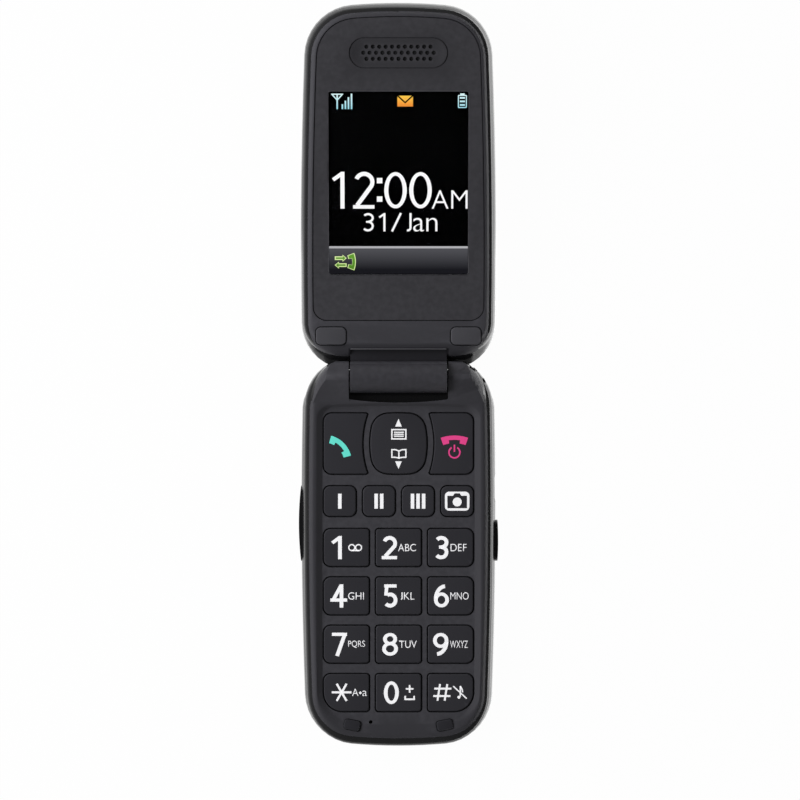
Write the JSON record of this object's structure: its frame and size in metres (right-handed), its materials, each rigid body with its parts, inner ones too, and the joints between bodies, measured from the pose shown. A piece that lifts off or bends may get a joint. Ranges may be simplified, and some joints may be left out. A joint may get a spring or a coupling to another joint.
{
  "type": "flip phone",
  "caption": "Folding mobile phone with large keys under a hinged lid that carries the display and the earpiece.",
  "frame": {"origin": "centre of the base's flat back", "axes": "+X to the right of the keypad, +Y from the base's tip towards the lid, +Z out of the keypad"},
  "size_m": [0.0548, 0.2018, 0.028],
  "materials": {
    "gloss_shell": "glossy dark grey moulding",
    "matt_shell": "fine matt dark grey moulding",
    "face_panel": "fine matt dark grey panel",
    "key": "matt near-black key cap with light legends",
    "clear_window": "clear window over a dark display",
    "display": "lit display, black ground",
    "board": "green circuit board",
    "dark_plastic": "dark moulding",
    "mesh": "black woven mesh",
    "steel": "bright steel",
    "brass": "brass",
    "rubber": "dark rubber",
    "silicone": "pale silicone",
    "flex": "amber flex film",
    "battery": "wrapped metal can"
  },
  "bodies": {
    "base": {"base_front_casing": "matt_shell", "base_rear_casing": "gloss_shell", "key_mat": "silicone", "dome_sheet": "flex", "main_board": "board", "shield_cans": "steel", "battery": "battery", "battery_contacts": "brass", "card_holder": "steel", "usb_socket": "steel", "loudspeaker": "dark_plastic", "microphone": "steel", "antenna": "dark_plastic", "camera_module": "dark_plastic", "camera_window": "clear_window", "side_switches": "steel", "hinge_shaft": "steel", "hinge_pin": "steel", "tip_bumpers": "rubber", "base_screws": "steel"},
    "lid": {"lid_outer_cover": "gloss_shell", "lid_inner_frame": "matt_shell", "face_panel": "face_panel", "display_window": "clear_window", "display_module": "display", "lid_board": "board", "earpiece_capsule": "dark_plastic", "earpiece_mesh": "mesh", "vibration_motor": "steel", "lid_magnet": "steel", "lid_pads": "rubber", "lid_screws": "steel", "hinge_cartridge": "steel", "hinge_bush": "brass", "hinge_flex": "flex"},
    "battery_cover": {"battery_cover": "gloss_shell"},
    "volume_rocker": {"volume_rocker": "gloss_shell"},
    "side_key": {"side_key": "gloss_shell"},
    "nav_key": {"nav_key": "key"},
    "key_call": {"key_call": "key"},
    "key_end": {"key_end": "key"},
    "key_quick_1": {"key_quick_1": "key"},
    "key_quick_2": {"key_quick_2": "key"},
    "key_quick_3": {"key_quick_3": "key"},
    "key_camera": {"key_camera": "key"},
    "key_1": {"key_1": "key"},
    "key_2": {"key_2": "key"},
    "key_3": {"key_3": "key"},
    "key_4": {"key_4": "key"},
    "key_5": {"key_5": "key"},
    "key_6": {"key_6": "key"},
    "key_7": {"key_7": "key"},
    "key_8": {"key_8": "key"},
    "key_9": {"key_9": "key"},
    "key_star": {"key_star": "key"},
    "key_0": {"key_0": "key"},
    "key_hash": {"key_hash": "key"}
  },
  "joints": [
    {"name": "lid_hinge", "type": "hinge", "parent": "base", "child": "lid", "pos_m": [0, 0.04845, 0.0112], "axis": [1, 0, 0], "range_deg": [0, 170]},
    {"name": "key_call_press", "type": "slide", "parent": "base", "child": "key_call", "axis": [0, 0, -1], "range_m": [0, 0.0003], "stiffness_N_per_m": 600, "deforming": ["key_mat"]},
    {"name": "key_end_press", "type": "slide", "parent": "base", "child": "key_end", "axis": [0, 0, -1], "range_m": [0, 0.0003], "stiffness_N_per_m": 600, "deforming": ["key_mat"]},
    {"name": "key_quick_1_press", "type": "slide", "parent": "base", "child": "key_quick_1", "axis": [0, 0, -1], "range_m": [0, 0.0003], "stiffness_N_per_m": 600, "deforming": ["key_mat"]},
    {"name": "key_quick_2_press", "type": "slide", "parent": "base", "child": "key_quick_2", "axis": [0, 0, -1], "range_m": [0, 0.0003], "stiffness_N_per_m": 600, "deforming": ["key_mat"]},
    {"name": "key_quick_3_press", "type": "slide", "parent": "base", "child": "key_quick_3", "axis": [0, 0, -1], "range_m": [0, 0.0003], "stiffness_N_per_m": 600, "deforming": ["key_mat"]},
    {"name": "key_camera_press", "type": "slide", "parent": "base", "child": "key_camera", "axis": [0, 0, -1], "range_m": [0, 0.0003], "stiffness_N_per_m": 600, "deforming": ["key_mat"]},
    {"name": "key_1_press", "type": "slide", "parent": "base", "child": "key_1", "axis": [0, 0, -1], "range_m": [0, 0.0003], "stiffness_N_per_m": 600, "deforming": ["key_mat"]},
    {"name": "key_2_press", "type": "slide", "parent": "base", "child": "key_2", "axis": [0, 0, -1], "range_m": [0, 0.0003], "stiffness_N_per_m": 600, "deforming": ["key_mat"]},
    {"name": "key_3_press", "type": "slide", "parent": "base", "child": "key_3", "axis": [0, 0, -1], "range_m": [0, 0.0003], "stiffness_N_per_m": 600, "deforming": ["key_mat"]},
    {"name": "key_4_press", "type": "slide", "parent": "base", "child": "key_4", "axis": [0, 0, -1], "range_m": [0, 0.0003], "stiffness_N_per_m": 600, "deforming": ["key_mat"]},
    {"name": "key_5_press", "type": "slide", "parent": "base", "child": "key_5", "axis": [0, 0, -1], "range_m": [0, 0.0003], "stiffness_N_per_m": 600, "deforming": ["key_mat"]},
    {"name": "key_6_press", "type": "slide", "parent": "base", "child": "key_6", "axis": [0, 0, -1], "range_m": [0, 0.0003], "stiffness_N_per_m": 600, "deforming": ["key_mat"]},
    {"name": "key_7_press", "type": "slide", "parent": "base", "child": "key_7", "axis": [0, 0, -1], "range_m": [0, 0.0003], "stiffness_N_per_m": 600, "deforming": ["key_mat"]},
    {"name": "key_8_press", "type": "slide", "parent": "base", "child": "key_8", "axis": [0, 0, -1], "range_m": [0, 0.0003], "stiffness_N_per_m": 600, "deforming": ["key_mat"]},
    {"name": "key_9_press", "type": "slide", "parent": "base", "child": "key_9", "axis": [0, 0, -1], "range_m": [0, 0.0003], "stiffness_N_per_m": 600, "deforming": ["key_mat"]},
    {"name": "key_star_press", "type": "slide", "parent": "base", "child": "key_star", "axis": [0, 0, -1], "range_m": [0, 0.0003], "stiffness_N_per_m": 600, "deforming": ["key_mat"]},
    {"name": "key_0_press", "type": "slide", "parent": "base", "child": "key_0", "axis": [0, 0, -1], "range_m": [0, 0.0003], "stiffness_N_per_m": 600, "deforming": ["key_mat"]},
    {"name": "key_hash_press", "type": "slide", "parent": "base", "child": "key_hash", "axis": [0, 0, -1], "range_m": [0, 0.0003], "stiffness_N_per_m": 600, "deforming": ["key_mat"]},
    {"name": "nav_rock", "type": "hinge", "parent": "base", "child": "nav_key", "pos_m": [0, 0.03025, 0.0084], "axis": [1, 0, 0], "range_deg": [-1.6, 1.6], "stiffness_Nm_per_rad": 0.03, "deforming": ["key_mat"]},
    {"name": "volume_rock", "type": "hinge", "parent": "base", "child": "volume_rocker", "pos_m": [-0.0248, 0.00825, 0.0048], "axis": [0, 0, 1], "range_deg": [-1.2, 1.2], "stiffness_Nm_per_rad": 0.03},
    {"name": "side_key_press", "type": "slide", "parent": "base", "child": "side_key", "axis": [-1, 0, 0], "range_m": [0, 0.0003], "stiffness_N_per_m": 600},
    {"name": "cover_lift", "type": "slide", "parent": "base", "child": "battery_cover", "axis": [0, 0, -1], "range_m": [0, 0.02]}
  ]
}
